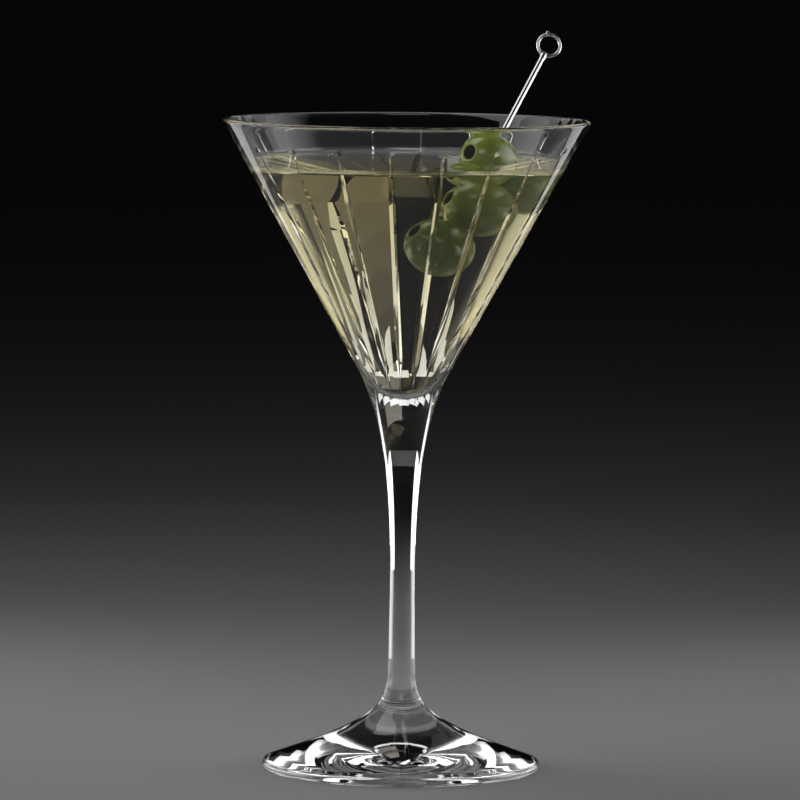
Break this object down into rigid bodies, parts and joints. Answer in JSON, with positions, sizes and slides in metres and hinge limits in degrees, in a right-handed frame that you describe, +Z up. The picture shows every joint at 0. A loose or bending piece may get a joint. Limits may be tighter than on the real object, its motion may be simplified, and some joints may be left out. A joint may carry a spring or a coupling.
{
  "type": "martini glass",
  "caption": "Cut-crystal stemmed cocktail glass, filled, with pitted olives threaded on a slim metal pick that leans over the rim.",
  "frame": {"origin": "centre of the foot, on the plane that the glass stands on", "axes": "+Z up the stem; -Y is the front; the pick leans up and away towards +X and +Y"},
  "size_m": [0.1008, 0.1008, 0.2028],
  "materials": {
    "crystal": "clear, fire polished, cuts polished",
    "drink": "clear pale straw liquid",
    "steel": "polished steel",
    "olive": "moist smooth skin"
  },
  "bodies": {
    "glass": {"bowl": "crystal", "stem": "crystal", "foot": "crystal", "drink": "drink"},
    "pick": {"pick_shaft": "steel", "pick_ring": "steel"},
    "olive_bottom": {"olive_bottom": "olive"},
    "olive_middle": {"olive_middle": "olive"},
    "olive_top": {"olive_top": "olive"}
  },
  "joints": [
    {"name": "pick_lift", "type": "slide", "parent": "glass", "child": "pick", "axis": [0, 0, 1], "range_m": [0, 0.06], "deforming": ["drink"]},
    {"name": "olive_bottom_slide", "type": "slide", "parent": "pick", "child": "olive_bottom", "axis": [0.3716, 0.6436, 0.6691], "range_m": [0, 0.008], "deforming": ["drink"]},
    {"name": "olive_middle_slide", "type": "slide", "parent": "olive_bottom", "child": "olive_middle", "axis": [0.3716, 0.6436, 0.6691], "range_m": [0, 0.008], "deforming": ["drink"]},
    {"name": "olive_top_slide", "type": "slide", "parent": "olive_middle", "child": "olive_top", "axis": [0.3716, 0.6436, 0.6691], "range_m": [0, 0.008], "deforming": ["drink"]}
  ]
}
